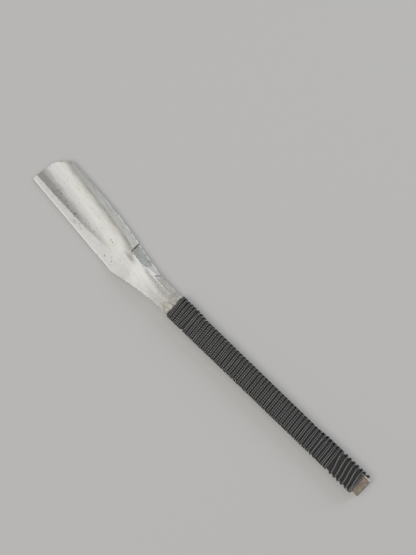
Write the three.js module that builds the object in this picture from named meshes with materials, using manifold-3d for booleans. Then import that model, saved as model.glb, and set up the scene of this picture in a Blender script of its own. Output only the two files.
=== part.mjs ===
// Skiving knife: a forged blade of soft iron over hard steel, drawn out into a slim flat tang that is
// wrapped with braided cord. Millimetres. The handle runs along +X from the butt to the blade, the straight
// cutting edge is on the +Y side, the thick spine on the -Y side, and the flat underside faces -Z.

import * as THREE from "three";
import { mergeVertices } from "three/addons/utils/BufferGeometryUtils.js";
import Module from "manifold-3d";

const wasm = await Module();
wasm.setup();

const degrees = Math.PI / 180;

// Tang and neck
const barThickness = 4;
const buttWidth = 9;
const neckWidth = 9.4; // where the wrap ends
const tangLength = 110.6; // butt to the end of the wrap
const barChamfer = 0.6;
const neckLength = 28.4; // end of the wrap to the heel of the cutting edge
const heelOffset = 8.2; // centre line of the tang to the heel
const spineFlare = 13.4; // end of the wrap to where the spine side starts to spread
const heelFlare = 14.9; // the same on the edge side

// Blade, measured along its straight cutting edge from the heel, and across from that edge
const bladeLean = 5.96 * degrees;
const bladeLength = 51.4;
const bladeWidth = 18.1;
const notchAlong = 1.3;
const notchInset = 1.55; // how far the spine at the notch is inside the full width
const bellyAlong = 20;
const bellyBulge = 0.8; // how far the spine's curve is drawn past the full width
const clipAlong = 5.4;
const clipDepth = 6.4;
const clipInset = 0.8;
const clipBulge = 1;
const endSlant = 0.5;
const toeRound = 1.3;

// Grinds
const edgeLand = 0.2; // thickness left at the cutting edge by the flat grind
const wedgeAngle = 8 * degrees;
const grindStart = 9; // along the edge, where the flat grind reaches its full depth
const hollowStart = 7.5; // the same for the hollow, a little nearer the neck
const grindRunOut = 110; // radius of both run-outs towards the neck
const wedgeAcross = 8; // how far from the edge this grind reaches, under the hollow
const hollowRadius = 24; // grinding wheel
const hollowAcross = 3.5; // edge to the wheel's axis
const hollowHeight = 25.05; // wheel's axis above the underside, level with the heel
const hollowPitch = 0.9 * degrees; // the hollow deepens towards the end
const hollowSkew = 2.9 * degrees; // and the wheel's axis draws away from the edge
const bevelWidth = 0.45;
const bevelAngle = 22 * degrees;
const undersideRadius = 60;
const undersideDepth = 0.25;
const undersideInset = 8.6; // edge to the middle of the hollow in the underside
const undersideStart = 6;
const undersideEnd = 47;
const undersideRunOut = 12;

// Facets on the spine side, and the notch between them
const ridgeAtWrap = 2.2; // centre line to the ridge
const ridgeAtNotch = 3.5;
const facetAngle = 25 * degrees;
const facetHidden = 6; // how far the neck's facet runs on under the wrap
const spineWall = 2.3; // upright wall left at the blade's spine
const notchDepth = 0.35;
const facetLap = 1.5; // the blade's facet is cut from this far before the notch

// Hard steel layer
const steelThickness = 1;
const scarfAt = 15; // end of the wrap to the layer's back end
const scarfRun = 2;

// Cord
const cordWidth = 1.55;
const cordThickness = 0.65;
const cordShoulder = 0.3; // slope at the cord's two rounded sides
const cordClearance = 0.05;
const cordBend = 0.8; // centre line radius at the bar's corners
const wrapStart = 4.2; // butt to the middle of the first turn
const wrapEndMargin = 1.1; // last turn's middle to the end of the wrap
const pitchAtButt = 2.1;
const pitchAtNeck = 1.77;
const buttTail = 21.5; // length of cord tucked under the first turns
const neckTail = 8.5; // and under the last ones
const tailBend = 1.4;

const FAR = 80;
const heel = new THREE.Vector2(tangLength + neckLength, heelOffset);
const layer = cordThickness + cordClearance;

// Turns a closed geometry into a solid, at the place that the object holds.
function solid(geometry, place = new THREE.Object3D()) {
  place.updateWorldMatrix(true, false);
  const bare = geometry.index ? geometry.toNonIndexed() : geometry.clone();
  bare.deleteAttribute("normal");
  bare.deleteAttribute("uv");
  const merged = mergeVertices(bare.applyMatrix4(place.matrixWorld), 1e-4);
  return new wasm.Manifold(
    new wasm.Mesh({
      numProp: 3,
      vertProperties: merged.attributes.position.array,
      triVerts: new Uint32Array(merged.index.array),
    }),
  );
}

function geometryOf(manifold) {
  const { vertProperties, triVerts } = manifold.getMesh();
  const indexed = new THREE.BufferGeometry();
  indexed.setAttribute("position", new THREE.BufferAttribute(vertProperties, 3));
  indexed.setIndex(new THREE.BufferAttribute(triVerts, 1));
  const geometry = indexed.toNonIndexed();
  geometry.computeVertexNormals();
  return geometry;
}

// A frame at the heel: X along the cutting edge, the spine at -Y.
function bladeFrame() {
  const frame = new THREE.Object3D();
  frame.position.set(heel.x, heel.y, 0);
  frame.rotation.z = -bladeLean;
  return frame;
}

function placed(parent, position, rotation = [0, 0, 0]) {
  const child = new THREE.Object3D();
  child.position.set(...position);
  child.rotation.set(...rotation);
  parent.add(child);
  return child;
}

function bladePoint(along, across) {
  return new THREE.Vector2(along, -across).rotateAround(new THREE.Vector2(), -bladeLean).add(heel);
}

// The whole knife seen from above, anticlockwise from the butt.
function outline() {
  const notch = bladePoint(notchAlong, bladeWidth - notchInset);
  const belly = bladePoint(bellyAlong, bladeWidth + bellyBulge);
  const clipEndAlong = bladeLength - endSlant;
  const clipStart = new THREE.Vector2(clipEndAlong - clipAlong, bladeWidth - clipInset);
  const clipEnd = new THREE.Vector2(clipEndAlong, clipStart.y - clipDepth);
  const outward = new THREE.Vector2(clipDepth, clipAlong).setLength(clipBulge);
  const clipMiddle = clipStart.clone().add(clipEnd).multiplyScalar(0.5).add(outward);
  const shape = new THREE.Shape();
  const curveTo = (control, end) => shape.quadraticCurveTo(control.x, control.y, end.x, end.y);
  const lineTo = (end) => shape.lineTo(end.x, end.y);
  shape.moveTo(0, -buttWidth / 2);
  shape.lineTo(tangLength, -neckWidth / 2);
  curveTo(new THREE.Vector2(tangLength + spineFlare, -neckWidth / 2), notch);
  curveTo(belly, bladePoint(clipStart.x, clipStart.y));
  curveTo(bladePoint(clipMiddle.x, clipMiddle.y), bladePoint(clipEnd.x, clipEnd.y));
  lineTo(bladePoint(bladeLength, toeRound));
  curveTo(bladePoint(bladeLength, 0), bladePoint(bladeLength - toeRound, 0));
  lineTo(heel);
  curveTo(
    new THREE.Vector2(tangLength + heelFlare, neckWidth / 2),
    new THREE.Vector2(tangLength, neckWidth / 2),
  );
  shape.lineTo(0, buttWidth / 2);
  return shape;
}

// A box whose lowest face is the cutting plane, at z = 0 of its place.
function planeCutter(place, start, length) {
  const box = new THREE.BoxGeometry(length, FAR, FAR);
  box.translate(start + length / 2, 0, FAR / 2);
  return solid(box, place);
}

// The flat grind: a plane that rises from the cutting edge, with a long round run-out at the neck.
function wedgeCutter() {
  const height = 2 * barThickness;
  const reach = Math.sqrt(2 * grindRunOut * height - height ** 2);
  const profile = new THREE.Shape();
  profile.moveTo(FAR, height);
  profile.lineTo(grindStart - reach, height);
  profile.absarc(
    grindStart,
    grindRunOut,
    grindRunOut,
    Math.atan2(height - grindRunOut, -reach),
    -Math.PI / 2,
    false,
  );
  profile.lineTo(FAR, 0);
  const options = { depth: FAR / 2 + wedgeAcross, bevelEnabled: false, curveSegments: 14 };
  const cutter = new THREE.ExtrudeGeometry(profile, options);
  cutter.translate(0, 0, -FAR / 2).rotateX(Math.PI / 2);
  return solid(cutter, placed(bladeFrame(), [0, 0, edgeLand], [-wedgeAngle, 0, 0]));
}

// A grinding wheel along X, full width between the two places, with rounded run-outs beyond them.
function wheel(radius, start, end, runOut, depth) {
  const steps = 5;
  const reach = Math.sqrt(2 * runOut * depth - depth ** 2);
  const profile = [new THREE.Vector2(0, start - reach)];
  for (let i = 0; i <= steps; i++) {
    const back = reach * (1 - i / steps);
    profile.push(new THREE.Vector2(radius - runOut + Math.sqrt(runOut ** 2 - back ** 2), start - back));
  }
  for (let i = 0; i <= steps; i++) {
    const on = (reach * i) / steps;
    profile.push(new THREE.Vector2(radius - runOut + Math.sqrt(runOut ** 2 - on ** 2), end + on));
  }
  profile.push(new THREE.Vector2(0, end + reach));
  return new THREE.LatheGeometry(profile, 150).rotateZ(-Math.PI / 2);
}

function hollowCutter() {
  const cutter = wheel(hollowRadius, hollowStart, FAR, grindRunOut, barThickness);
  const place = placed(bladeFrame(), [0, -hollowAcross, hollowHeight], [0, hollowPitch, -hollowSkew]);
  return solid(cutter, place);
}

function undersideCutter() {
  const cutter = wheel(undersideRadius, undersideStart, undersideEnd, undersideRunOut, undersideDepth * 2);
  const place = placed(bladeFrame(), [0, -undersideInset, undersideDepth - undersideRadius]);
  return solid(cutter, place);
}

function edgeBevelCutter() {
  const top = edgeLand + bevelWidth * Math.tan(wedgeAngle);
  const place = placed(bladeFrame(), [0, -bevelWidth, top], [-bevelAngle, 0, 0]);
  return planeCutter(place, -FAR / 8, FAR);
}

// The neck's facet starts at the ridge line and falls towards the spine side.
function neckFacetPlace() {
  const notchX = bladePoint(notchAlong, bladeWidth - notchInset).x;
  const turn = Math.atan2(ridgeAtWrap - ridgeAtNotch, notchX - tangLength);
  const root = new THREE.Object3D();
  const frame = placed(root, [tangLength, -ridgeAtWrap, barThickness], [0, 0, turn]);
  return { place: placed(frame, [0, 0, 0], [facetAngle, 0, 0]), length: (notchX - tangLength) / Math.cos(turn) };
}

function neckFacetCutter() {
  const { place, length } = neckFacetPlace();
  return planeCutter(place, -facetHidden, facetHidden + length);
}

function notchCutter() {
  const { place, length } = neckFacetPlace();
  const side = notchDepth * Math.SQRT2;
  const groove = new THREE.BoxGeometry(side, FAR / 8, side).rotateY(Math.PI / 4);
  groove.translate(0, -FAR / 16, 0);
  return solid(groove, placed(place, [length, 0, 0]));
}

function bladeFacetCutter() {
  const rise = clipInset - notchInset;
  const run = bladeLength - endSlant - clipAlong - notchAlong;
  const frame = placed(
    bladeFrame(),
    [notchAlong, notchInset - bladeWidth, spineWall],
    [0, 0, Math.atan2(rise, run)],
  );
  return planeCutter(placed(frame, [0, 0, 0], [facetAngle, 0, 0]), -facetLap, FAR);
}

// The room under the iron that the hard steel fills, with a slanted back end.
function steelSpace() {
  const start = tangLength + scarfAt;
  const profile = new THREE.Shape();
  profile.moveTo(start - scarfRun, -steelThickness);
  profile.lineTo(start + FAR, -steelThickness);
  profile.lineTo(start + FAR, steelThickness);
  profile.lineTo(start + scarfRun, steelThickness);
  const space = new THREE.ExtrudeGeometry(profile, { depth: FAR, bevelEnabled: false });
  space.translate(0, 0, -FAR / 2).rotateX(Math.PI / 2);
  return solid(space);
}

function forgedBody() {
  const blank = new THREE.ExtrudeGeometry(outline(), {
    depth: barThickness - 2 * barChamfer,
    bevelThickness: barChamfer,
    bevelSize: barChamfer,
    bevelOffset: -barChamfer,
    bevelSegments: 1,
    curveSegments: 14,
  });
  blank.translate(0, 0, barChamfer);
  return solid(blank)
    .subtract(wedgeCutter())
    .subtract(hollowCutter())
    .subtract(neckFacetCutter())
    .subtract(bladeFacetCutter())
    .subtract(notchCutter())
    .subtract(steelSpace());
}

function edgeSteel() {
  const options = { depth: steelThickness, bevelEnabled: false, curveSegments: 14 };
  const blank = new THREE.ExtrudeGeometry(outline(), options);
  return solid(blank)
    .intersect(steelSpace())
    .subtract(wedgeCutter())
    .subtract(hollowCutter())
    .subtract(edgeBevelCutter())
    .subtract(undersideCutter());
}

// The cord's centre line: a tucked tail, the turns, and the other tail. Each point has the direction that
// faces away from the bar, so that the flat cord always lies on it.
class WrapRoute extends THREE.Curve {
  constructor(points) {
    super();
    this.points = points;
  }

  getPoint(t, target = new THREE.Vector3()) {
    const place = t * (this.points.length - 1);
    const i = Math.min(Math.floor(place), this.points.length - 2);
    return target.lerpVectors(this.points[i].at, this.points[i + 1].at, place - i);
  }

  getSpacedPoints() {
    return this.points.map((point) => point.at.clone());
  }

  computeFrenetFrames() {
    const last = this.points.length - 1;
    const tangents = this.points.map((_, i) => {
      const before = this.points[Math.max(i - 1, 0)].at;
      const after = this.points[Math.min(i + 1, last)].at;
      return after.clone().sub(before).normalize();
    });
    const normals = this.points.map((point) => point.away.clone().normalize());
    const binormals = tangents.map((tangent, i) => tangent.clone().cross(normals[i]).normalize());
    return { tangents, normals, binormals };
  }
}

function wrapRoute() {
  const wrapEnd = tangLength - wrapEndMargin;
  const turns = Math.round((2 * (wrapEnd - wrapStart)) / (pitchAtButt + pitchAtNeck));
  const spread = (wrapEnd - wrapStart) / ((turns * (pitchAtButt + pitchAtNeck)) / 2);
  const halfWidth = (x) => THREE.MathUtils.lerp(buttWidth, neckWidth, x / tangLength) / 2;
  const tailTop = barThickness / 2 + tailBend / 2;
  const overTail = (x) => x < wrapStart + buttTail || x > wrapEnd - neckTail;
  const points = [];
  const add = (x, y, z, awayY, awayZ) =>
    points.push({ at: new THREE.Vector3(x, y, z), away: new THREE.Vector3(0, awayY, awayZ) });
  const tailY = (x) => -(halfWidth(x) + layer - cordThickness / 2);

  // A quarter bend lies on the bar's side, between the tail along it and the turns across it.
  const bend = (x, side) => {
    const steps = 4;
    for (let i = 0; i <= steps; i++) {
      const angle = ((side > 0 ? steps - i : i) / steps) * (Math.PI / 2);
      const along = x + side * tailBend * (1 - Math.sin(angle));
      const up = tailTop - tailBend * (1 - Math.cos(angle));
      add(along, tailY(along), up, -1, 0);
    }
  };

  const steps = 8;
  for (let i = 0; i < steps; i++) {
    const x = THREE.MathUtils.lerp(wrapStart + buttTail, wrapStart + tailBend, i / steps);
    add(x, tailY(x), tailTop, -1, 0);
  }
  bend(wrapStart, 1);

  // Corners in the order in which a turn passes them, as signs of Y and Z, from the one after the tail.
  const corners = [
    [-1, -1],
    [1, -1],
    [1, 1],
    [-1, 1],
  ];
  const eased = cordBend * (1 - Math.SQRT1_2);
  for (let turn = 0; turn < turns; turn++) {
    corners.forEach(([signY, signZ], corner) => {
      const through = turn + (corner + 0.5) / corners.length;
      const pitch = pitchAtButt + ((pitchAtNeck - pitchAtButt) * through) / (2 * turns);
      const x = wrapStart + through * pitch * spread;
      const hump = signY < 0 && overTail(x) && through > 0.5 && through < turns - 0.5 ? layer : 0;
      const y = signY * (halfWidth(x) + layer - cordThickness / 2 + hump);
      const z = barThickness / 2 + signZ * (barThickness / 2 + layer - cordThickness / 2);
      const round = [
        [x, y, z - signZ * cordBend, signY, 0],
        [x, y - signY * eased, z - signZ * eased, signY, signZ],
        [x, y - signY * cordBend, z, 0, signZ],
      ];
      if (signY !== signZ) round.reverse();
      round.forEach((point) => add(...point));
    });
  }
  bend(wrapEnd, -1);
  for (let i = 1; i <= steps; i++) {
    const x = THREE.MathUtils.lerp(wrapEnd - tailBend, wrapEnd - neckTail, i / steps);
    add(x, tailY(x), tailTop - tailBend, -1, 0);
  }
  return new WrapRoute(points);
}

function wrapCord() {
  const route = wrapRoute();
  const halfThick = cordThickness / 2;
  const halfWide = cordWidth / 2;
  const section = new THREE.Shape([
    new THREE.Vector2(0, -halfWide),
    new THREE.Vector2(halfThick, cordShoulder - halfWide),
    new THREE.Vector2(halfThick, halfWide - cordShoulder),
    new THREE.Vector2(0, halfWide),
    new THREE.Vector2(-halfThick, halfWide - cordShoulder),
    new THREE.Vector2(-halfThick, cordShoulder - halfWide),
  ]);
  return new THREE.ExtrudeGeometry(section, { steps: route.points.length - 1, extrudePath: route });
}

const finishes = {
  softIron: { color: 0xb9b8b2, roughness: 0.38, metalness: 1 },
  hardSteel: { color: 0xa3a5a6, roughness: 0.3, metalness: 1 },
  blackCord: { color: 0x1d1d1f, roughness: 0.85, metalness: 0 },
};

const knife = new THREE.Group();

function addPiece(name, geometry, finish) {
  const mesh = new THREE.Mesh(geometry, new THREE.MeshStandardMaterial(finish));
  mesh.name = name;
  knife.add(mesh);
}

addPiece("forged_body", geometryOf(forgedBody()), finishes.softIron);
addPiece("edge_steel", geometryOf(edgeSteel()), finishes.hardSteel);
addPiece("wrap_cord", wrapCord(), finishes.blackCord);

// The origin is under the middle of the knife as it lies on the wrap.
const box = new THREE.Box3().setFromObject(knife);
const centre = box.getCenter(new THREE.Vector3());
knife.position.set(-centre.x, -centre.y, -box.min.z);

const group = new THREE.Group();
group.add(knife);
export default group;
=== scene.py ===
"""Skiving knife: a laminated forged blade and tang with a braided cord wrap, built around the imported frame."""

import math
import random

import bmesh
import bpy
from mathutils import Euler, Matrix, Vector


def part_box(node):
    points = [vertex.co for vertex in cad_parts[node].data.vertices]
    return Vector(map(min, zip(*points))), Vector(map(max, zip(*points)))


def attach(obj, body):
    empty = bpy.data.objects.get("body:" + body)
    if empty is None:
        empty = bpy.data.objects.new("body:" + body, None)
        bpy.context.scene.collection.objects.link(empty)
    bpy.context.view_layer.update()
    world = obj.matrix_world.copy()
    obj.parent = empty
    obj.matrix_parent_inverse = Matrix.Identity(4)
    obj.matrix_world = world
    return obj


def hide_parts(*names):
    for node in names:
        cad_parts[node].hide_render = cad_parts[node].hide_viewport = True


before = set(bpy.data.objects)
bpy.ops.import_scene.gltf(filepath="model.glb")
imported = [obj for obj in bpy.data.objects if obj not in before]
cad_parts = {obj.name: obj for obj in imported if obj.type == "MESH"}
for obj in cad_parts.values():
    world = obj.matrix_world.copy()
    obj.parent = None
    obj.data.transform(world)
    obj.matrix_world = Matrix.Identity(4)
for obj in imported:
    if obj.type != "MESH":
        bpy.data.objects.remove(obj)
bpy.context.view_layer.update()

MM = 0.001
UP = Vector((0, 0, 1))

# Knife measures in millimetres, from the butt along the handle, and for the blade from the heel along its edge.
BAR_THICK = 4.0
BUTT_WIDTH = 9.0
NECK_WIDTH = 9.4
TANG_LENGTH = 110.6
NECK_LENGTH = 28.4
HEEL_OFFSET = 8.2
SPINE_FLARE = 13.4
HEEL_FLARE = 14.9
BLADE_LEAN = math.radians(5.96)
BLADE_LENGTH = 51.4
BLADE_WIDTH = 18.1
NOTCH_ALONG = 1.3
NOTCH_INSET = 1.55
BELLY_ALONG = 20.0
BELLY_BULGE = 0.8
CLIP_ALONG = 5.4
CLIP_DEPTH = 6.4
CLIP_INSET = 0.8
CLIP_BULGE = 1.0
END_SLANT = 0.5
TOE_ROUND = 1.3
EDGE_LAND = 0.2
WEDGE_ANGLE = math.radians(8)
WEDGE_ACROSS = 8.0
RUN_OUT = 30.0
HOLLOW_RADIUS = 24.0
HOLLOW_ACROSS = 3.5
HOLLOW_HEIGHT = 25.05
HOLLOW_PITCH = math.radians(0.9)
HOLLOW_SKEW = math.radians(2.9)
GRIND_START = 9.0
BEVEL_WIDTH = 0.45
BEVEL_ANGLE = math.radians(22)
UNDER_RADIUS = 60.0
UNDER_DEPTH = 0.25
UNDER_INSET = 8.6
UNDER_START = 6.0
UNDER_END = 47.0
UNDER_RUN_OUT = 12.0
RIDGE_AT_WRAP = 2.2
RIDGE_AT_NOTCH = 3.5
FACET_ANGLE = math.radians(25)
HANDLE_END = 104.0
RIM = 0.18
GRID = 0.32
SPINE_WALL = 2.3
NOTCH_DEPTH = 0.35
NOTCH_X = 138.8
RIDGE_WORN = 0.22
SCOOP_START = 124.0
SCOOP_LENGTH = 5.6
SCOOP_DEPTH = 0.24
STEEL_THICK = 1.0
SCARF_AT = 15.0
SCARF_RUN = 2.0
BAR_EASE = 0.6  # how far the tang's long edges are rounded
HAND_WAVE = 0.004  # the unevenness of work ground by hand
NECK_SOFT = 2.4  # how much wider the ridges are worn on the neck
GRIND_SOFT = 0.2
HOLLOW_SOFT = 0.05
BEVEL_SOFT = 0.03
THINNEST = 0.03
WEDGE_CURL = 0.1  # how fast the flat grind curls up past its width
SCOOP_SLANT = 0.9
OUT_OF_WAY = 4  # lifts a facet above the bar where it doesn't reach
FAR = 80.0

# How finely the meshes are made.
WHEEL_SIDES = 480
WHEEL_RINGS = 24
CURVE_STEPS = 20
SMOOTH_ANGLE = math.radians(22)
WELD = 0.000002
ON_LEVEL = 1e-6

# The frame gives where the knife lies: its butt and flat underside from the iron, its centre line from the edge.
iron_low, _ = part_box("forged_body")
_, steel_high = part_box("edge_steel")
KNIFE = Vector((iron_low[0], steel_high[1] - HEEL_OFFSET * MM, iron_low[2]))
HEEL = Vector((TANG_LENGTH + NECK_LENGTH, HEEL_OFFSET, 0))


def knife_place(point, turn=(0, 0, 0)):
    """The matrix that puts a cutter at a point of the knife, in millimetres, and turns it."""
    here = Matrix.Translation(KNIFE) @ Matrix.Scale(MM, 4) @ Matrix.Translation(point)
    return here @ Euler(turn).to_matrix().to_4x4()


def blade_place(point, turn=(0, 0, 0)):
    """The same in the blade's own directions: X along the cutting edge from the heel, the spine at -Y."""
    return knife_place(HEEL, (0, 0, -BLADE_LEAN)) @ Matrix.Translation(point) @ Euler(turn).to_matrix().to_4x4()


def tang_half(x):
    return (BUTT_WIDTH + (NECK_WIDTH - BUTT_WIDTH) * x / TANG_LENGTH) / 2


def blade_point(along, across):
    return (Matrix.Rotation(-BLADE_LEAN, 3, "Z") @ Vector((along, -across, 0))) + HEEL


def smoothstep(low, high, value):
    t = min(1, max(0, (value - low) / (high - low)))
    return t * t * (3 - 2 * t)


# ---------------------------------------------------------------- modelling helpers

def deselect():
    if bpy.context.object and bpy.context.object.mode != "OBJECT":
        bpy.ops.object.mode_set(mode="OBJECT")
    bpy.ops.object.select_all(action="DESELECT")


def take(piece):
    """Makes a piece the only selected one, and the active one."""
    deselect()
    piece.select_set(True)
    bpy.context.view_layer.objects.active = piece


def named(name):
    """Names the object that was just made, and its mesh."""
    piece = bpy.context.object
    piece.name = name
    piece.data.name = name
    return piece


def settle(piece, place):
    """Moves a piece to its place and applies that, so that the object itself stays at the origin."""
    take(piece)
    piece.matrix_world = place
    bpy.ops.object.transform_apply(location=True, rotation=True, scale=True)
    return piece


def clean(piece):
    """Welds points that coincide and turns every face outward."""
    take(piece)
    bpy.ops.object.mode_set(mode="EDIT")
    bpy.ops.mesh.select_all(action="SELECT")
    bpy.ops.mesh.remove_doubles(threshold=WELD)
    bpy.ops.mesh.normals_make_consistent(inside=False)
    bpy.ops.object.mode_set(mode="OBJECT")
    return piece


def cut(piece, cutter, operation="DIFFERENCE"):
    """Cuts the cutter out of the piece, or keeps what the two share, and removes the cutter."""
    take(piece)
    modifier = piece.modifiers.new("cut", "BOOLEAN")
    modifier.operation = operation
    modifier.solver = "EXACT"
    modifier.object = cutter
    bpy.ops.object.modifier_apply(modifier=modifier.name)
    bpy.data.objects.remove(cutter)


def block(size, middle, place):
    """A box, in millimetres, at a place of the knife."""
    deselect()
    bpy.ops.mesh.primitive_cube_add(size=1)
    cube = named("block")
    cube.data.transform(Matrix.Translation(middle) @ Matrix.Diagonal((*size, 1)))
    return settle(cube, place)


def barrel(radius, start, end, run_out, depth, place):
    """A grinding wheel along X: a cylinder whose two ends are drawn in, ring after ring, in a soft S."""
    deselect()
    bpy.ops.mesh.primitive_cylinder_add(vertices=WHEEL_SIDES, radius=radius, depth=end - start,
                                        end_fill_type="NGON")
    wheel = named("wheel")
    for way in (-1, 1):
        radius_now = radius
        bpy.ops.object.mode_set(mode="EDIT")
        bpy.ops.mesh.select_all(action="DESELECT")
        bpy.ops.object.mode_set(mode="OBJECT")
        for face in wheel.data.polygons:
            face.select = face.normal.z * way > 0.9
        bpy.ops.object.mode_set(mode="EDIT")
        for ring in range(1, WHEEL_RINGS + 1):
            radius_next = radius - depth * smoothstep(0, WHEEL_RINGS, ring)
            move = (0, 0, way * run_out / WHEEL_RINGS)
            bpy.ops.mesh.extrude_region_move(TRANSFORM_OT_translate={"value": move})
            bpy.ops.transform.resize(value=(radius_next / radius_now, radius_next / radius_now, 1))
            radius_now = radius_next
        bpy.ops.object.mode_set(mode="OBJECT")
    wheel.data.transform(Matrix.Translation(((start + end) / 2, 0, 0)) @ Matrix.Rotation(math.pi / 2, 4, "Y"))
    return settle(wheel, place)


def outline_slab(name, height):
    """The knife seen from above, as a flat curve with round stretches, extruded from its underside up."""
    notch = blade_point(NOTCH_ALONG, BLADE_WIDTH - NOTCH_INSET)
    belly = blade_point(BELLY_ALONG, BLADE_WIDTH + BELLY_BULGE)
    clip_end_along = BLADE_LENGTH - END_SLANT
    clip_start = Vector((clip_end_along - CLIP_ALONG, BLADE_WIDTH - CLIP_INSET))
    clip_end = Vector((clip_end_along, clip_start.y - CLIP_DEPTH))
    clip_middle = (clip_start + clip_end) / 2 + Vector((CLIP_DEPTH, CLIP_ALONG)).normalized() * CLIP_BULGE
    half_butt, half_neck = BUTT_WIDTH / 2, NECK_WIDTH / 2
    # Each entry is a corner of the outline and the control point of the curve that follows it, if there is one.
    corners = [
        (Vector((0, -half_butt, 0)), None),
        (Vector((HANDLE_END, -tang_half(HANDLE_END), 0)), None),
        (Vector((TANG_LENGTH, -half_neck, 0)), Vector((TANG_LENGTH + SPINE_FLARE, -half_neck, 0))),
        (notch, belly),
        (blade_point(*clip_start), blade_point(*clip_middle)),
        (blade_point(*clip_end), None),
        (blade_point(BLADE_LENGTH, TOE_ROUND), blade_point(BLADE_LENGTH, 0)),
        (blade_point(BLADE_LENGTH - TOE_ROUND, 0), None),
        (HEEL.copy(), Vector((TANG_LENGTH + HEEL_FLARE, half_neck, 0))),
        (Vector((TANG_LENGTH, half_neck, 0)), None),
        (Vector((HANDLE_END, tang_half(HANDLE_END), 0)), None),
        (Vector((0, half_butt, 0)), None),
    ]
    deselect()
    bpy.ops.curve.primitive_bezier_curve_add()
    slab = named(name)
    slab.data.dimensions = "2D"
    slab.data.fill_mode = "BOTH"
    slab.data.extrude = height / 2
    slab.data.resolution_u = CURVE_STEPS
    spline = slab.data.splines[0]
    spline.use_cyclic_u = True
    spline.bezier_points.add(len(corners) - 2)
    for i, (corner, control) in enumerate(corners):
        following = corners[(i + 1) % len(corners)][0]
        here = spline.bezier_points[i]
        there = spline.bezier_points[(i + 1) % len(corners)]
        here.handle_left_type = here.handle_right_type = "FREE"
        here.co = corner
        pull = control if control else (corner + following) / 2
        here.handle_right = corner.lerp(pull, 2 / 3)
        there.handle_left = following.lerp(pull, 2 / 3)
    bpy.ops.object.convert(target="MESH")
    slab = named(name)
    slab.data.transform(Matrix.Translation((0, 0, height / 2)))
    settle(slab, knife_place(Vector()))
    clean(slab)
    bpy.ops.object.mode_set(mode="EDIT")
    bpy.ops.mesh.dissolve_limited(angle_limit=0.001)
    bpy.ops.object.mode_set(mode="OBJECT")
    return slab


def select_edges(piece, wanted):
    """Selects the edges whose two ends, in millimetres of the knife, are wanted, and stays in edit mode."""
    take(piece)
    bpy.ops.object.mode_set(mode="EDIT")
    bpy.ops.mesh.select_mode(type="EDGE")
    bpy.ops.mesh.select_all(action="DESELECT")
    bpy.ops.object.mode_set(mode="OBJECT")
    to_knife = Matrix.Scale(1 / MM, 4) @ Matrix.Translation(-KNIFE)
    points = [to_knife @ v.co for v in piece.data.vertices]
    for edge in piece.data.edges:
        a, b = (points[i] for i in edge.vertices)
        edge.select = bool(wanted(a, b, edge.index))
    bpy.ops.object.mode_set(mode="EDIT")


def ease_edges(piece, width, segments, wanted):
    """Rounds the picked edges, as a file or a stone leaves them."""
    select_edges(piece, wanted)
    bpy.ops.mesh.bevel(offset=width * MM, segments=segments, profile=0.5, clamp_overlap=True)
    bpy.ops.object.mode_set(mode="OBJECT")


def edge_turns(piece):
    """The angle between the two faces at each edge."""
    normals = {}
    for face in piece.data.polygons:
        for key in face.edge_keys:
            normals.setdefault(key, []).append(face.normal.copy())
    turns = []
    for edge in piece.data.edges:
        pair = normals.get(tuple(sorted(edge.vertices)), [])
        turns.append(pair[0].angle(pair[1], 0) if len(pair) == 2 else 0)
    return turns


def smooth(piece):
    take(piece)
    bpy.ops.object.shade_smooth_by_angle(angle=SMOOTH_ANGLE)


# ---------------------------------------------------------------- the blade and tang

def soft_min(a, b, soft):
    """The lower of two heights, with the ridge between them worn round."""
    near = max(soft - abs(a - b), 0) / soft
    return min(a, b) - near * near * soft / 4


def blade_coordinates(x, y):
    """A point of the knife as millimetres along the cutting edge from the heel, and across the blade from it."""
    dx, dy = x - HEEL.x, y - HEEL.y
    return (dx * math.cos(BLADE_LEAN) - dy * math.sin(BLADE_LEAN),
            -dx * math.sin(BLADE_LEAN) - dy * math.cos(BLADE_LEAN))


def run_in(along):
    """1 on the neck, before the grinds, falling in a soft S to 0 on the blade."""
    return 1 - smoothstep(GRIND_START - RUN_OUT, GRIND_START, along)


def hollow_height(along, across):
    """The height of the wheel-ground hollow, whose wheel is drawn in on the neck."""
    radius = HOLLOW_RADIUS - BAR_THICK * run_in(along)
    aside = min(abs(across - HOLLOW_ACROSS - along * math.tan(HOLLOW_SKEW)), radius - 0.5)
    return HOLLOW_HEIGHT - along * math.sin(HOLLOW_PITCH) - math.sqrt(radius ** 2 - aside ** 2)


def back_height(along, across):
    """The height of the facet along the blade's back, measured in from its outer edge."""
    outer = BLADE_WIDTH - NOTCH_INSET + (along - NOTCH_ALONG) * (NOTCH_INSET - CLIP_INSET) / (
        BLADE_LENGTH - END_SLANT - CLIP_ALONG - NOTCH_ALONG)
    return SPINE_WALL + (outer - across) * math.tan(FACET_ANGLE)


def back_ridge(along):
    """How far across the hollow meets the facet along the blade's back."""
    low, high = WEDGE_ACROSS, BLADE_WIDTH
    for _ in range(30):
        middle = (low + high) / 2
        if hollow_height(along, middle) < back_height(along, middle):
            low = middle
        else:
            high = middle
    return low


def neck_ridge(x):
    """How far from the centre line the ridge above the neck's facet runs."""
    return -RIDGE_AT_WRAP - (x - TANG_LENGTH) * (RIDGE_AT_NOTCH - RIDGE_AT_WRAP) / NECK_LENGTH


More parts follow.
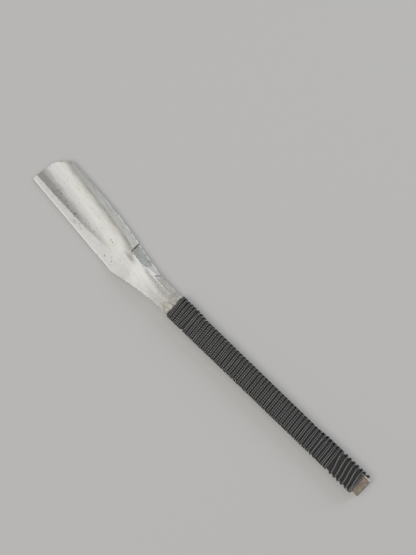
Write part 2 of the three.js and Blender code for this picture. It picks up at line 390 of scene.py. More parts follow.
def ground_height(x, y):
    """How high the ground top stands over the flat underside, at a point of the knife in millimetres."""
    along, across = blade_coordinates(x, y)
    neck = run_in(along)
    # The flat from the edge, and the wide hollow of the wheel above it.
    flat = EDGE_LAND + across * math.tan(WEDGE_ANGLE) + WEDGE_CURL * max(across - WEDGE_ACROSS, 0) ** 2
    height = soft_min(BAR_THICK, flat + BAR_THICK * neck, GRIND_SOFT + NECK_SOFT * neck)
    height = soft_min(height, hollow_height(along, across), HOLLOW_SOFT + NECK_SOFT * neck)
    # The facet along the neck, its ridge worn to a narrow strip, with a scooped patch.
    shown = (OUT_OF_WAY - OUT_OF_WAY * smoothstep(HANDLE_END + 0.5, HANDLE_END + 3, x)
             + OUT_OF_WAY * smoothstep(NOTCH_X + 0.2, NOTCH_X + 0.4, x))
    aside = y - neck_ridge(x)
    facet = BAR_THICK + aside * math.tan(FACET_ANGLE)
    scoop = (x - SCOOP_SLANT * (y + 4) - SCOOP_START) / SCOOP_LENGTH
    if 0 < scoop < 1 and aside < -RIDGE_WORN:
        facet -= SCOOP_DEPTH * smoothstep(0, 0.05, scoop) * (1 - scoop) * smoothstep(0, 0.8, -aside - RIDGE_WORN)
    worn = BAR_THICK + (aside - RIDGE_WORN) * math.tan(FACET_ANGLE / 2)
    height = min(height, facet + shown, worn + shown)
    # The facet along the back of the blade, and the notch between the two.
    height = min(height, back_height(along, across) + OUT_OF_WAY * smoothstep(NOTCH_X - 0.2, NOTCH_X - 0.4, x))
    if y < -3.3:
        height -= NOTCH_DEPTH * max(0, 1 - abs(x - NOTCH_X) / NOTCH_DEPTH) * smoothstep(-3.5, -4.4, y)
    bevel = EDGE_LAND + BEVEL_WIDTH * math.tan(WEDGE_ANGLE) + (across - BEVEL_WIDTH) * math.tan(BEVEL_ANGLE)
    height = soft_min(height, bevel + BAR_THICK * neck, BEVEL_SOFT)
    height += HAND_WAVE * math.sin(0.9 * x + 1.3 * y) + HAND_WAVE * math.sin(0.47 * x - 1.9 * y + 2)
    return max(height, THINNEST)


def snap_to_back_ridge(mesh, level):
    """Slides the nearest grid points onto the ridge along the blade's back and joins them up."""
    chain = []
    for vertex in mesh.verts:
        if vertex.co.z < level - ON_LEVEL or any(abs(f.normal.z) < 0.5 for f in vertex.link_faces):
            continue
        at = (vertex.co - KNIFE) / MM
        if at.x < NOTCH_X + 0.5:
            continue
        along, across = blade_coordinates(at.x, at.y)
        ridge = back_ridge(along)
        if abs(across - ridge) <= GRID / 2:
            vertex.co = KNIFE + blade_point(along, ridge) * MM + UP * (level - KNIFE.z)
            chain.append((along, vertex))
    chain.sort(key=lambda link: link[0])
    for (_, a), (_, b) in zip(chain, chain[1:]):
        shared = set(a.link_faces) & set(b.link_faces)
        if shared and not set(a.link_edges) & set(b.link_edges):
            bmesh.utils.face_split(shared.pop(), a, b)


def ground_knife():
    """The whole forging: the outline with its top laid out in a fine grid that is ground to height."""
    slab = outline_slab("knife_iron", BAR_THICK)
    turns = edge_turns(slab)
    ease_edges(slab, BAR_EASE, 3, lambda a, b, i: turns[i] > 1 and abs(a.z - b.z) < 0.01
               and max(a.x, b.x) < HANDLE_END + 0.1)
    bpy.ops.object.mode_set(mode="EDIT")
    bpy.ops.mesh.select_mode(type="FACE")
    bpy.ops.mesh.select_all(action="DESELECT")
    bpy.ops.object.mode_set(mode="OBJECT")
    for face in slab.data.polygons:
        face.select = face.normal.z > 0.99 and face.area > 0.0005
    bpy.ops.object.mode_set(mode="EDIT")
    bpy.ops.mesh.inset(thickness=RIM * MM, depth=0)
    bpy.ops.object.mode_set(mode="OBJECT")
    mesh = bmesh.new()
    mesh.from_mesh(slab.data)
    level = KNIFE.z + BAR_THICK * MM

    def slice_top(point, normal, before=1.0):
        wrap_end = KNIFE.x + HANDLE_END * MM
        faces = [f for f in mesh.faces if f.normal.z > 0.9 and max(v.co.x for v in f.verts) > wrap_end
                 and min(v.co.x for v in f.verts) < before]
        parts = faces + list({e for f in faces for e in f.edges}) + list({v for f in faces for v in f.verts})
        bmesh.ops.bisect_plane(mesh, geom=parts, plane_co=point, plane_no=normal, dist=1e-8)

    slice_top(KNIFE + Vector((HANDLE_END, 0, 0)) * MM, Vector((1, 0, 0)))
    notch = [NOTCH_X + step * NOTCH_DEPTH / 2 for step in (-2, -1, 0, 1, 2)]
    for x in notch:
        slice_top(KNIFE + Vector((x, 0, 0)) * MM, Vector((1, 0, 0)))
    turn = Matrix.Rotation(-BLADE_LEAN, 3, "Z")
    first = HANDLE_END - HEEL.x + 0.6
    for i in range(int((BLADE_LENGTH - first) / GRID) + 1):
        slice_top(KNIFE + blade_point(first + i * GRID, 0) * MM, turn @ Vector((1, 0, 0)))
    for across in [0.3, 0.6, 0.85] + [1.1 + i * GRID for i in range(56)]:
        slice_top(KNIFE + blade_point(0, across) * MM, turn @ Vector((0, 1, 0)))
    lean = math.atan2(RIDGE_AT_NOTCH - RIDGE_AT_WRAP, NECK_LENGTH)
    for aside in (RIDGE_WORN, -RIDGE_WORN):
        slice_top(KNIFE + Vector((TANG_LENGTH, aside - RIDGE_AT_WRAP, 0)) * MM,
                  Vector((math.sin(lean), math.cos(lean), 0)), KNIFE.x + (NOTCH_X + 0.2) * MM)
    start = KNIFE.x + (HANDLE_END + 0.05) * MM
    snap_to_back_ridge(mesh, level)
    rim = mesh.verts.layers.float.new("rim")
    for vertex in mesh.verts:
        if vertex.co.z > level - ON_LEVEL and vertex.co.x > start:
            at = (vertex.co - KNIFE) / MM
            height = ground_height(at.x, at.y)
            if any(abs(f.normal.z) < 0.5 for f in vertex.link_faces):
                height = max(height - RIM / 2, min(height, 0.05))
                vertex[rim] = 1.0
            vertex.co.z = KNIFE.z + height * MM
    mesh.to_mesh(slab.data)
    mesh.free()
    return clean(slab)


def steel_room():
    """The space under the iron that the hard steel fills, with a slanted back end."""
    start = TANG_LENGTH + SCARF_AT
    room = block((FAR, FAR, 2 * STEEL_THICK), (start + FAR / 2, 0, 0), knife_place(Vector()))
    slope = SCARF_RUN / STEEL_THICK * MM
    back = KNIFE.x + (start + 0.01) * MM
    for vertex in room.data.vertices:
        if vertex.co.x < back:
            vertex.co.x += slope * (vertex.co.z - KNIFE.z) / MM
    return room


def copy_of(piece, name):
    take(piece)
    bpy.ops.object.duplicate()
    return named(name)


iron = ground_knife()
steel = copy_of(iron, "knife_steel")
cut(iron, steel_room())
cut(steel, steel_room(), "INTERSECT")
under = blade_place((0, -UNDER_INSET, UNDER_DEPTH - UNDER_RADIUS))
cut(steel, barrel(UNDER_RADIUS, UNDER_START, UNDER_END, UNDER_RUN_OUT, 2 * UNDER_DEPTH, under))
for piece in (iron, steel):
    clean(piece)
    smooth(piece)
    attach(piece, "root")
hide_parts("forged_body")
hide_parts("edge_steel")

# ---------------------------------------------------------------- the cord wrap

CORD_WIDTH = 1.7
CORD_THICK = 0.66
CORD_REST = 0.05 + 0.325  # from the bar to the cord's middle line
CORD_BEND = 0.95
TAIL_RISE = 0.5
TAIL_BEND = 0.9
BUTT_TAIL = 21.5
NECK_TAIL = 8.5
WRAP_START = 2.9
WRAP_END_MARGIN = 1.1
STITCH = 1.15
RING_STEP = 0.29
TAIL_STEP = 0.06
BEND_STEPS = 40
TURN_STEPS = 480
BEND_WAY = 0.085  # the share of a turn where the tails bend into the wrap
SLANT_WAY = 0.66  # the share of a turn where the cord starts over the top
# The cord's section, by the angles of its points in degrees: close together in the groove between the two ribs.
SECTION = (0, 32, 60, 80, 90, 100, 120, 148, 180, 212, 245, 270, 295, 328)
TURNED_WIDTH = 0.42  # the width left where the cord stands on its side
PINCHED = 0.34  # the share of its width lost at the bar's corner
GROOVE = 0.66
# The wrap's turns in order: how many, and how far apart they lie.
PITCHES = [(1, 1.3), (1, 1.7), (1, 2.3), (3, 2.13), (1, 2.6), (11, 2.05), (21, 1.88), (11, 1.79),
           (1, 2.0), (1, 2.05), (3, 1.72), (1, 1.6)]
LOOSE_TURNS = 7
TIPPED_TURN = 11
LIFTED_TURNS = (51, 52)

chance = random.Random(7)


def wrap_turns():
    """Where each turn crosses the facet side's upper edge, and how it lies."""
    steps = [pitch for count, pitch in PITCHES for _ in range(count)]
    room = TANG_LENGTH - WRAP_END_MARGIN - WRAP_START
    stretch = room / sum(steps)
    turns, x = [], WRAP_START
    for i, step in enumerate(steps):
        loose = i < LOOSE_TURNS
        turns.append({
            "x": x, "pitch": step * stretch,
            "skew": 0.8 if loose else -0.3 if i in LIFTED_TURNS else 0.12,
            "flat": (0.3 if loose or i == TIPPED_TURN else 0.72 if i >= len(steps) - 5
                     else chance.uniform(0.86, 1.0)),
            "bow": chance.uniform(-0.1, 0.1), "lift": chance.uniform(0, 0.04),
        })
        x += step * stretch
        if not loose:
            turns[-1]["x"] += chance.uniform(-0.07, 0.07)
    return turns


def loop_place(x, way):
    """A point on one turn round the tang, from the facet side's upper edge: its place and outward direction."""
    # The turns stand out where a tail is buried under them.
    neck_tail = TANG_LENGTH - WRAP_END_MARGIN - NECK_TAIL
    buried = 1 - smoothstep(WRAP_START + BUTT_TAIL, WRAP_START + BUTT_TAIL + 7, x)
    buried += smoothstep(neck_tail - 6, neck_tail, x)
    facet_side = tang_half(x) + CORD_REST + TAIL_RISE * buried
    straight_side = tang_half(x) + CORD_REST
    high, low = BAR_THICK + CORD_REST, -CORD_REST + 0.03
    bend, quarter = CORD_BEND, CORD_BEND * math.pi / 2
    across = facet_side + straight_side - 2 * bend
    down = high - low - 2 * bend
    lengths = [quarter, down, quarter, across, quarter, down, quarter, across]
    left = way * sum(lengths)
    leg = 0
    while leg < 7 and left > lengths[leg]:
        left -= lengths[leg]
        leg += 1
    part = left / lengths[leg]
    corners = {0: (-facet_side + bend, high - bend), 2: (-facet_side + bend, low + bend),
               4: (straight_side - bend, low + bend), 6: (straight_side - bend, high - bend)}
    if leg in corners:
        angle = math.pi / 2 * (1 + leg / 2 + part)
        away = (math.cos(angle), math.sin(angle))
        middle = corners[leg]
        return middle[0] + bend * away[0], middle[1] + bend * away[1], away
    if leg == 1:
        return -facet_side, high - bend - left, (-1, 0)
    if leg == 3:
        return -facet_side + bend + left, low, (0, -1)
    if leg == 5:
        return straight_side, low + bend + left, (1, 0)
    return straight_side - bend - left, high, (0, 1)


def cord_route():
    """The cord's middle line as samples of place, outward direction, flatness and pinch."""
    turns = wrap_turns()
    samples = []
    start = Vector((WRAP_START, -tang_half(0) - CORD_REST - 0.02, BAR_THICK / 2))
    # The butt tail lies along the tang and bends down into the first turn.
    facet_way = Vector((0, -1, 0))
    for i in range(int(BUTT_TAIL / TAIL_STEP)):
        place = Vector((WRAP_START + BUTT_TAIL - i * TAIL_STEP, start.y, start.z + TAIL_BEND))
        samples.append((place, facet_way, 2, 0))
    for i in range(BEND_STEPS):
        angle = math.pi / 2 * i / BEND_STEPS
        out = smoothstep(0, BEND_STEPS, i) * TAIL_RISE
        place = Vector((WRAP_START - TAIL_BEND * math.sin(angle), start.y - out,
                        start.z + TAIL_BEND * math.cos(angle)))
        samples.append((place, facet_way, 0.8, 0.5))
    count = len(turns)
    for number, turn in enumerate(turns):
        following = turns[number + 1] if number + 1 < count else turn
        end_x = following["x"] if following is not turn else turn["x"] + turn["pitch"]
        for i in range(TURN_STEPS):
            way = i / TURN_STEPS
            if number == 0 and way < BEND_WAY:
                continue
            top = 0 if way < SLANT_WAY else (way - SLANT_WAY) / 0.34
            advance = way * (1 - turn["skew"]) + turn["skew"] * smoothstep(0, 1, top)
            if number == 0:
                advance = smoothstep(BEND_WAY, 1, way)
            x = turn["x"] + (end_x - turn["x"]) * advance + turn["bow"] * math.sin(math.pi * top)
            if number == 0:
                x -= TAIL_BEND * (1 - smoothstep(BEND_WAY, 0.5, way))
            y, z, away = loop_place(x, way)
            flat = turn["flat"] + (following["flat"] - turn["flat"]) * smoothstep(0.9, 1, way)
            lift = turn["lift"] * math.sin(math.pi * way) ** 2
            pinch = 1 - smoothstep(0.02, 0.16, min(abs(way - 0.05), abs(way - 1.05)))
            samples.append((Vector((x, y + away[0] * lift, z + away[1] * lift)), Vector((0, *away)), flat, pinch))
    x = samples[-1][0].x
    # The last turn goes down the facet side and bends back under the turns before it.
    for i in range(30):
        y, z, away = loop_place(x, BEND_WAY * i / 30)
        samples.append((Vector((x, y, z)), Vector((0, *away)), 1, 0.7))
    corner = samples[-1][0].copy()
    tucked = -tang_half(TANG_LENGTH) - CORD_REST - 0.02
    for i in range(1, BEND_STEPS + 1):
        angle = math.pi / 2 * i / BEND_STEPS
        place = Vector((corner.x - TAIL_BEND * (1 - math.cos(angle)),
                        corner.y + (tucked - corner.y) * smoothstep(0, BEND_STEPS, i),
                        corner.z - TAIL_BEND * math.sin(angle)))
        samples.append((place, facet_way, 0.8, 0.5))
    last = samples[-1][0].copy()
    for i in range(1, int(NECK_TAIL / TAIL_STEP)):
        samples.append((Vector((last.x - i * TAIL_STEP, tucked, last.z)), facet_way, 2, 0))
    return samples


def even_rings(samples, step):
    """The same route with its samples an equal step apart along the cord."""
    rings, total, target = [], 0.0, 0.0
    for before, after in zip(samples, samples[1:]):
        span = (after[0] - before[0]).length
        while span > 0 and target <= total + span:
            part = (target - total) / span
            flat = before[2] + (after[2] - before[2]) * part
            pinch = before[3] + (after[3] - before[3]) * part
            rings.append((before[0].lerp(after[0], part), before[1].lerp(after[1], part).normalized(),
                          flat, pinch, target))
            target += step
        total += span
    return rings, total


def cord_mesh(name):
    """A flat braided cord: two plump ribs of stitches side by side, swept along the route."""
    rings, length = even_rings(cord_route(), RING_STEP)
    section = [math.radians(a) for a in SECTION]
    sides = len(section)
    points, faces = [], []
    place = knife_place(Vector())
    for i, (middle, away, flat, pinch, on) in enumerate(rings):
        before, after = rings[max(0, i - 1)][0], rings[min(len(rings) - 1, i + 1)][0]
        ahead = (after - before).normalized()
        up = (away - ahead * away.dot(ahead)).normalized()
        side = ahead.cross(up)
        half = (CORD_WIDTH / 2) * (TURNED_WIDTH + 0.58 * min(flat, 1)) * (1 - PINCHED * pinch)
        thick = (CORD_THICK / 2) * (1 + 0.05 * (1 - flat) if flat < 1 else 1.3 - 0.3 * flat)
        groove = GROOVE * smoothstep(0.35, 0.8, flat) * (1 - 0.55 * pinch)
        beat = on / STITCH * math.tau
        for angle in section:
            u = math.copysign(abs(math.cos(angle)) ** 0.8, math.cos(angle))
            h = math.copysign(abs(math.sin(angle)) ** 0.75, math.sin(angle))
            sway = math.cos(beat + (math.pi if u < 0 else 0) + 1.2 * u)
            swell = 1 + (0.17 + 0.12 * (flat < 0.5)) * sway - 0.06
            reach = 1 + 0.06 * sway
            if h > 0:
                h *= (1 - groove * math.exp(-(u / 0.3) ** 2)) * swell
            points.append(place @ (middle + side * (u * half * reach) + up * (h * thick)))
    for i in range(len(rings) - 1):
        for j in range(sides):
            k = (j + 1) % sides
            faces.append((i * sides + j, i * sides + k, (i + 1) * sides + k, (i + 1) * sides + j))
    faces.append(tuple(range(sides))[::-1])
    faces.append(tuple((len(rings) - 1) * sides + j for j in range(sides)))
    mesh = bpy.data.meshes.new(name)
    mesh.from_pydata(points, [], faces)
    ribs = mesh.attributes.new("ribs", "FLOAT", "POINT")
    for i, ring in enumerate(rings):
        for j in range(sides):
            ribs.data[i * sides + j].value = smoothstep(0.35, 0.75, ring[2])
    layer = mesh.uv_layers.new(name="cord")
    for face in mesh.polygons:
        last = face.index >= (len(rings) - 1) * sides
        for loop, vertex in zip(face.loop_indices, face.vertices):
            ring, j = divmod(vertex, sides)
            around = j / sides
            if not last and face.index % sides == sides - 1 and j == 0:
                around = 1.0
            layer.data[loop].uv = (around, rings[ring][4] / 10)
    piece = bpy.data.objects.new(name, mesh)
    bpy.context.collection.objects.link(piece)
    take(piece)
    bpy.ops.object.mode_set(mode="EDIT")
    bpy.ops.mesh.select_all(action="SELECT")
    bpy.ops.mesh.normals_make_consistent(inside=False)
    bpy.ops.object.mode_set(mode="OBJECT")
    bpy.ops.object.shade_smooth()
    return piece, length


cord, cord_length = cord_mesh("cord_wrap")
print("cord length", round(cord_length), "mm")
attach(cord, "root")
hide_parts("wrap_cord")

# ---------------------------------------------------------------- finishes

IRON_LIGHT, IRON_DARK = (0.45, 0.459, 0.405), (0.30, 0.308, 0.272)
STEEL_LIGHT, STEEL_DARK = (0.355, 0.357, 0.347), (0.26, 0.264, 0.26)
CLOUD_TONE = (0.31, 0.295, 0.25)
# Painted highlight on the edge bevel.
BEVEL_PAINTED_HIGHLIGHT = (0.72, 0.72, 0.70)
# Painted highlight on the rims round the outline.
RIM_PAINTED_HIGHLIGHT = (0.80, 0.79, 0.76)
# Painted light on the neck towards the wrap.
NECK_PAINTED_LIGHT = (0.56, 0.55, 0.52)
WRAP_STAIN = (0.17, 0.148, 0.115)
FACET_BROWN = (0.185, 0.165, 0.135)
FACET_BLUE = (0.18, 0.187, 0.188)
# Near-black forging scale and painted shade under the wrap.
SCALE_AND_PAINTED_SHADE = (0.02, 0.02, 0.021)
RUST_DARK, RUST_LIGHT = (0.10, 0.078, 0.06), (0.27, 0.225, 0.185)
BUTT_CORNER = (0.56, 0.46, 0.40)
PIT_DARK = (0.055, 0.05, 0.045)
CORD_DARK, CORD_LIGHT = (0.055, 0.055, 0.057), (0.20, 0.20, 0.205)
CORD_WORN = (0.23, 0.226, 0.218)
# Painted shade in the cord's grooves and sides.
CORD_PAINTED_SHADE = (0.004, 0.004, 0.004)
FLOOR_TONE = (0.56, 0.553, 0.54, 1)


class Board:
    """A short hand for laying out nodes."""

    def __init__(self, tree):
        self.tree = tree

    def node(self, kind, settings=None, **inputs):
        n = self.tree.nodes.new(kind)
        for key, value in (settings or {}).items():
            setattr(n, key, value)
        for key, value in inputs.items():
            self.feed(n.inputs[key.replace("_", " ")], value)
        return n

    def feed(self, socket, value):
        if hasattr(value, "links"):
            self.tree.links.new(value, socket)
        else:
            socket.default_value = value

    def sum(self, kind, a, b=0.0, c=0.0, clamp=False):
        n = self.node("ShaderNodeMath", {"operation": kind, "use_clamp": clamp})
        for socket, value in zip(n.inputs, (a, b, c)):
            self.feed(socket, value)
        return n.outputs[0]

    def ramp(self, value, low, high, to_low=0.0, to_high=1.0):
        n = self.node("ShaderNodeMapRange", {"interpolation_type": "SMOOTHSTEP"}, Value=value)
        for key, number in (("From Min", low), ("From Max", high), ("To Min", to_low), ("To Max", to_high)):
            n.inputs[key].default_value = number
        return n.outputs[0]

    def mix(self, mask, a, b, kind="MIX"):
        n = self.node("ShaderNodeMix", {"data_type": "RGBA", "blend_type": kind, "clamp_factor": True})
        self.feed(n.inputs[0], mask)
        self.feed(n.inputs[6], (*a, 1) if isinstance(a, tuple) else a)
        self.feed(n.inputs[7], (*b, 1) if isinstance(b, tuple) else b)
        return n.outputs[2]

    def noise(self, place, scale, detail=3.0, rough=0.55):
        n = self.node("ShaderNodeTexNoise", Vector=place, Scale=scale, Detail=detail, Roughness=rough)
        return n.outputs["Fac"]

    def mapping(self, place, location=(0, 0, 0), rotation=(0, 0, 0), scale=(1, 1, 1)):
        n = self.node("ShaderNodeMapping", Vector=place, Location=location, Rotation=rotation, Scale=scale)
        return n.outputs[0]

    def split(self, place):
        return self.node("ShaderNodeSeparateXYZ", Vector=place).outputs


def group(name, ins, outs):
    tree = bpy.data.node_groups.new(name, "ShaderNodeTree")
    for label, kind, value in ins:
        socket = tree.interface.new_socket(label, in_out="INPUT", socket_type=kind)
        if value is not None:
            socket.default_value = value
    for label, kind in outs:
        tree.interface.new_socket(label, in_out="OUTPUT", socket_type=kind)
    board = Board(tree)
    source = tree.nodes.new("NodeGroupInput")
    sink = tree.nodes.new("NodeGroupOutput")
    return tree, board, source.outputs, sink.inputs


def stone_lines_group():
    """Fine lengthwise scratches from grinding stones: a fine and a broad set of long streaks."""
    tree, b, given, out = group("stone_lines", [
        ("Place", "NodeSocketVector", None), ("Fineness", "NodeSocketFloat", 1.0)],
        [("Fine", "NodeSocketFloat"), ("Middle", "NodeSocketFloat"), ("Broad", "NodeSocketFloat")])
    fine = b.mapping(given["Place"], scale=(0.05, 5.0, 5.0))
    middle = b.mapping(given["Place"], location=(3, 11, 5), scale=(0.06, 1.7, 1.7))
    b.feed(out["Middle"], b.noise(middle, given["Fineness"], 3.0, 0.6))
    broad = b.mapping(given["Place"], scale=(0.028, 0.85, 0.85))
    b.feed(out["Fine"], b.noise(fine, given["Fineness"], 4.0, 0.65))
    b.feed(out["Broad"], b.noise(broad, given["Fineness"], 2.0, 0.5))
    return tree


def pits_group():
    """Small rust pits: scattered dark specks, each with a soft edge, thicker where the Amount is high."""
    tree, b, given, out = group("pits", [
        ("Place", "NodeSocketVector", None), ("Spacing", "NodeSocketFloat", 1.0), ("Amount", "NodeSocketFloat", 0.5)],
        [("Mask", "NodeSocketFloat")])
    wobble = b.node("ShaderNodeTexNoise", Vector=given["Place"], Scale=2.4, Detail=2.0)
    bent = b.node("ShaderNodeVectorMath", {"operation": "MULTIPLY_ADD"})
    b.feed(bent.inputs[0], wobble.outputs["Color"])
    bent.inputs[1].default_value = (0.5, 0.5, 0.5)
    b.feed(bent.inputs[2], given["Place"])
    spots = b.node("ShaderNodeTexVoronoi", Vector=bent.outputs[0], Scale=given["Spacing"])
    shade = b.split(spots.outputs["Color"])
    size = b.sum("MULTIPLY", b.sum("POWER", shade[0], 2.0), given["Amount"])
    depth = b.sum("SUBTRACT", b.sum("MULTIPLY", size, 0.4), spots.outputs["Distance"])
    b.feed(out["Mask"], b.ramp(depth, 0.0, 0.1))
    return tree


def clouds_group():
    """Slow blotches of tone, a large and a small set."""
    tree, b, given, out = group("clouds", [
        ("Place", "NodeSocketVector", None), ("Size", "NodeSocketFloat", 1.0)],
        [("Large", "NodeSocketFloat"), ("Small", "NodeSocketFloat")])
    b.feed(out["Large"], b.noise(given["Place"], given["Size"], 3.0, 0.5))
    small = b.mapping(given["Place"], location=(31, 7, 3), scale=(4.3, 4.3, 4.3))
    b.feed(out["Small"], b.noise(small, given["Size"], 5.0, 0.65))
    return tree


STONE_LINES = stone_lines_group()
PITS = pits_group()
CLOUDS = clouds_group()


def placed_group(board, tree, **inputs):
    n = board.node("ShaderNodeGroup", {"node_tree": tree})
    for key, value in inputs.items():
        board.feed(n.inputs[key], value)
    return n.outputs


def finish_start(name, roughness, metallic):
    material = bpy.data.materials.new(name)
    material.use_nodes = True
    tree = material.node_tree
    board = Board(tree)
    skin = tree.nodes["Principled BSDF"]
    skin.inputs["Metallic"].default_value = metallic
    skin.inputs["Roughness"].default_value = roughness
    return material, board, skin


def knife_coordinates(board):
    """Millimetres from the butt along the handle, and the same from the heel along the cutting edge."""
    source = board.node("ShaderNodeTexCoord").outputs["Object"]
    handle = board.mapping(source, location=tuple(-KNIFE / MM), scale=(1 / MM,) * 3)
    turned = Matrix.Rotation(BLADE_LEAN, 3, "Z") @ -HEEL
    blade = board.mapping(handle, location=tuple(turned), rotation=(0, 0, BLADE_LEAN))
    return handle, blade


def band(board, value, low, high, soft):
    """1 between low and high, with soft ends."""
    return board.sum("MULTIPLY", board.ramp(value, low - soft, low + soft),
                     board.ramp(value, high + soft, high - soft))


def pit_mask(b, handle, clouds, along, spineward):
    """Small pits all over, large ones in patches, and a crowd of specks behind the edge."""
    spotty = b.sum("MULTIPLY", band(b, along, 20.0, 44.0, 3.0), band(b, spineward, -5.5, -1.2, 1.2))
    small = b.sum("ADD", b.ramp(clouds["Small"], 0.42, 0.62, 0.4, 1.3),
                  b.sum("MULTIPLY", spotty, b.ramp(clouds["Small"], 0.4, 0.56, 0.1, 0.6)))
    large = b.ramp(clouds["Large"], 0.5, 0.62, 0.1, 1.0)
    specks = b.sum("MULTIPLY", spotty, 1.6)
    masks = [placed_group(b, PITS, Place=handle, Spacing=spacing, Amount=amount)["Mask"]
             for spacing, amount in ((1.7, small), (0.8, large), (2.1, specks))]
    return b.sum("MAXIMUM", b.sum("MAXIMUM", masks[0], masks[1]), masks[2])


def neck_tones(b, colour, roughness, x, y, clouds):
    """The iron's neck: painted lighter behind the wrap, stained beside it, and with two tints on its facet."""
    # Painted light: the neck is coloured lighter towards the wrap.
    colour = b.mix(b.ramp(x, 143.0, 130.0, 0.0, 0.45), colour, NECK_PAINTED_LIGHT)
    stain = b.sum("MULTIPLY", b.ramp(x, 123.0, 110.0), b.ramp(clouds["Small"], 0.38, 0.56))
    colour = b.mix(b.sum("MULTIPLY", stain, 0.75), colour, WRAP_STAIN)
    roughness = b.sum("ADD", roughness, b.sum("MULTIPLY", stain, 0.16))
    rise = RIDGE_AT_NOTCH - RIDGE_AT_WRAP
    ridge = b.sum("MULTIPLY_ADD", x, -rise / NECK_LENGTH, TANG_LENGTH * rise / NECK_LENGTH - RIDGE_AT_WRAP)
    facet = b.sum("MULTIPLY", b.ramp(b.sum("SUBTRACT", ridge, y), 0.0, 0.12), b.ramp(x, 139.0, 138.8))
    brown = b.sum("MULTIPLY", facet, b.ramp(x, 124.5, 121.5))
    blue = b.sum("MULTIPLY", facet, b.ramp(b.sum("MULTIPLY_ADD", y, -0.86, x), 132.7, 133.2))
    for patch, tint in ((brown, FACET_BROWN), (blue, FACET_BLUE)):
        colour = b.mix(b.sum("MULTIPLY", patch, 0.68), colour, tint)
    return colour, roughness


def tang_skin(b, skin, colour, roughness, x, y, handle):
    """Dark forging scale and painted shade under the wrap, and a warm oxide on the bare butt."""
    # Painted shade, partly forging scale: the tang under the wrap is coloured near black.
    scale = band(b, x, 3.3, 110.3, 0.5)
    oxide = b.ramp(x, 5.5, 4.0)
    grain = b.noise(b.mapping(handle, scale=(1.6, 1.6, 1.6)), 1.0, 5.0, 0.7)
    rust = b.mix(b.ramp(grain, 0.35, 0.68), RUST_DARK, RUST_LIGHT)
    corner = b.ramp(b.sum("ABSOLUTE", y), BUTT_WIDTH / 2 - 0.62, BUTT_WIDTH / 2 - 0.3)
    rust = b.mix(b.sum("MULTIPLY", corner, b.ramp(grain, 0.3, 0.5)), rust, BUTT_CORNER)
    colour = b.mix(oxide, b.mix(scale, colour, SCALE_AND_PAINTED_SHADE), rust)
    covered = b.sum("MAXIMUM", scale, oxide)
    roughness = b.sum("MAXIMUM", roughness, b.sum("MULTIPLY", covered, 0.62))
    b.feed(skin.inputs["Metallic"], b.sum("SUBTRACT", 1.0, b.sum("MULTIPLY", covered, 0.75)))
    return colour, roughness


def metal(name, light, dark, is_iron):
    """Ground metal with lengthwise scratches, clouds and pits, painted highlight on the rims and the edge bevel, and
    painted shade along the edge towards the end.
    """
    material, b, skin = finish_start(name, 0.3, 1.0)
    handle, blade = knife_coordinates(b)
    x, y, _ = b.split(handle)
    along, spineward, _ = b.split(blade)
    lines = placed_group(b, STONE_LINES, Place=blade, Fineness=1.0)
    clouds = placed_group(b, CLOUDS, Place=blade, Size=0.16)
    colour = b.mix(b.ramp(lines["Fine"], 0.3, 0.7), dark, light)
    colour = b.mix(b.ramp(lines["Middle"], 0.52, 0.72, 0.0, 0.45), colour, tuple(c * 0.62 for c in dark))
    colour = b.mix(b.ramp(clouds["Large"], 0.42, 0.66, 0.0, 0.4), colour, CLOUD_TONE)
    roughness = b.ramp(lines["Broad"], 0.3, 0.7, 0.26, 0.31)
    pits = pit_mask(b, handle, clouds, along, spineward)
    # Painted shade: the ground steel is coloured darker along the edge towards the end.
    painted_edge_shade = b.sum("MULTIPLY", b.ramp(along, 14.0, 34.0), b.ramp(spineward, -7.0, -3.0))
    colour = b.mix(b.sum("MULTIPLY", painted_edge_shade, 0.8), colour, tuple(c * 0.9 for c in dark))
    if is_iron:
        colour, roughness = neck_tones(b, colour, roughness, x, y, clouds)
    else:
        # Painted highlight: the edge bevel is coloured brighter.
        colour = b.mix(b.ramp(spineward, -0.5, -0.42), colour, BEVEL_PAINTED_HIGHLIGHT)
    # Painted highlight: the rim points round the outline are coloured brighter.
    rim = b.ramp(b.node("ShaderNodeAttribute", {"attribute_name": "rim"}).outputs["Fac"], 0.05, 0.75)
    colour = b.mix(b.sum("MULTIPLY", rim, 0.8), colour, RIM_PAINTED_HIGHLIGHT)
    if is_iron:
        colour, roughness = tang_skin(b, skin, colour, roughness, x, y, handle)
    colour = b.mix(b.sum("MULTIPLY", pits, 0.8), colour, PIT_DARK)
    roughness = b.sum("ADD", roughness, b.sum("MULTIPLY", pits, 0.2))
    relief = b.sum("SUBTRACT", b.sum("MULTIPLY", lines["Fine"], 0.25), b.sum("MULTIPLY", pits, 1.0))
    bump = b.node("ShaderNodeBump", Height=relief, Strength=0.35, Distance=0.00004)
    b.feed(skin.inputs["Base Color"], colour)
    b.feed(skin.inputs["Roughness"], roughness)
    b.feed(skin.inputs["Normal"], bump.outputs[0])
    return material


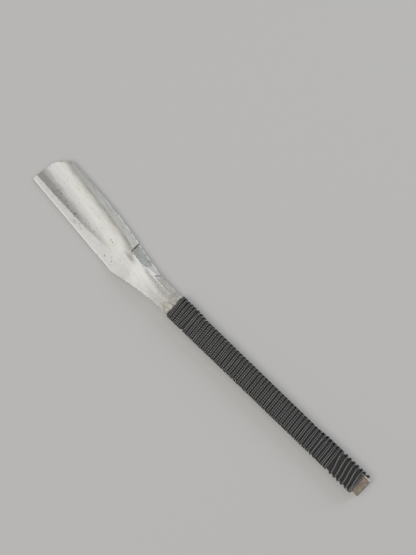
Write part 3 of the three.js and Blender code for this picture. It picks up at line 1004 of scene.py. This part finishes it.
def black_cord():
    """A flat braid of black filament: slanting stitches, fine fibres, a soft sheen, glossier tops with painted
    highlight, and painted shade in the grooves and sides.
    """
    material, b, skin = finish_start("black_cord", 0.5, 0.0)
    uv = b.node("ShaderNodeTexCoord").outputs["UV"]
    u, v, _ = b.split(uv)
    way = b.sum("MULTIPLY", v, 10 / STITCH * math.tau)
    side = b.sum("ABSOLUTE", b.sum("SUBTRACT", u, 0.286))
    stitch = b.sum("SINE", b.sum("ADD", way, b.sum("MULTIPLY", side, 22.0)))
    threads = b.sum("SINE", b.sum("ADD", b.sum("MULTIPLY", way, 4.0), b.sum("MULTIPLY", side, -60.0)))
    fuzz = b.noise(b.mapping(uv, scale=(18, 40, 1)), 1.0, 4.0, 0.7)
    slow = b.noise(b.mapping(uv, scale=(1, 0.9, 1)), 1.0, 2.0, 0.5)
    tone = b.ramp(b.sum("ADD", b.sum("MULTIPLY", stitch, 0.25), fuzz), 0.2, 0.95)
    ribs = b.node("ShaderNodeAttribute", {"attribute_name": "ribs"}).outputs["Fac"]
    # Painted highlight on the rib tops and painted shade in the grooves and sides: the tops keep the cord's colour
    # and the rest goes near black.
    crown_painted_light = b.sum("ABSOLUTE", b.sum("MULTIPLY_ADD", ribs, -0.125, side))
    crown_painted_light = b.ramp(b.sum("DIVIDE", crown_painted_light, b.sum("MULTIPLY_ADD", ribs, -2.3, 3.3)), 0.078, 0.0)
    colour = b.mix(tone, CORD_DARK, CORD_LIGHT)
    colour = b.mix(b.ramp(slow, 0.55, 0.75, 0.0, 0.4), colour, CORD_WORN)
    colour = b.mix(crown_painted_light, CORD_PAINTED_SHADE, colour)
    relief = b.sum("ADD", b.sum("MULTIPLY", stitch, 0.5), b.sum("MULTIPLY", threads, 0.22))
    relief = b.sum("ADD", relief, b.sum("MULTIPLY", fuzz, 0.5))
    bump = b.node("ShaderNodeBump", Height=relief, Strength=0.7, Distance=0.00009)
    b.feed(skin.inputs["Base Color"], colour)
    roughness = b.sum("ADD", b.ramp(fuzz, 0.3, 0.7, 0.42, 0.6), b.sum("MULTIPLY_ADD", crown_painted_light, -0.3, 0.3))
    b.feed(skin.inputs["Roughness"], roughness)
    b.feed(skin.inputs["Normal"], bump.outputs[0])
    skin.inputs["Sheen Weight"].default_value = 0.08
    skin.inputs["Sheen Roughness"].default_value = 0.4
    return material


def give(piece, material):
    piece.data.materials.clear()
    piece.data.materials.append(material)


give(iron, metal("soft_iron", IRON_LIGHT, IRON_DARK, True))
give(steel, metal("hard_steel", STEEL_LIGHT, STEEL_DARK, False))
give(cord, black_cord())

# ---------------------------------------------------------------- camera, floor and lights

VIEW_MIDDLE = KNIFE + Vector((108.3, -18.4, 0)) * MM
VIEW_TURN = math.radians(-135.95)
VIEW_DISTANCE = 0.62
VIEW_HEIGHT = 0.2314
SENSOR = 36
bpy.ops.object.camera_add(location=VIEW_MIDDLE + UP * (BAR_THICK * MM + VIEW_DISTANCE), rotation=(0, 0, VIEW_TURN))
camera = bpy.context.object
camera.data.sensor_width = SENSOR
camera.data.lens = SENSOR * VIEW_DISTANCE / VIEW_HEIGHT
camera.data.clip_start = 0.01
bpy.context.scene.camera = camera

bpy.ops.mesh.primitive_plane_add(size=3)
floor = bpy.context.object
floor.name = "floor"

floor_finish, board, skin = finish_start("pale_floor", 0.75, 0.0)
skin.inputs["Base Color"].default_value = FLOOR_TONE
give(floor, floor_finish)


def panel(name, direction, distance, size, power, colour):
    """A square soft light that looks at the middle of the knife from a direction."""
    place = VIEW_MIDDLE + Vector(direction).normalized() * distance
    bpy.ops.object.light_add(type="AREA", location=place)
    light = bpy.context.object
    light.name = name
    light.rotation_euler = (place - VIEW_MIDDLE).to_track_quat("Z", "Y").to_euler()
    light.data.shape = "SQUARE"
    light.data.size = size
    light.data.energy = power
    light.data.color = colour


# Each light's name, direction, distance and size in metres, power in watts, and colour.
for light in (
    ("warm_panel", (0.25, 0.50, 1.0), 1.1, 0.6, 6.6, (1.0, 0.96, 0.85)),
    ("cool_window", (-0.3, -1.0, 0.5), 1.2, 0.6, 8, (0.93, 0.96, 1.0)),
    ("ridge_strip", (0.0, -0.45, 1.0), 1.1, 0.12, 1.0, (1.0, 0.98, 0.95)),
    ("overhead_fill", (0.05, -0.16, 1.0), 1.1, 0.5, 0.5, (0.98, 1.0, 0.97)),
):
    panel(*light)
world = bpy.data.worlds.new("studio")
world.use_nodes = True
backdrop = world.node_tree.nodes["Background"].inputs
backdrop["Color"].default_value = (0.80, 0.81, 0.82, 1)
backdrop["Strength"].default_value = 0.56
bpy.context.scene.world = world
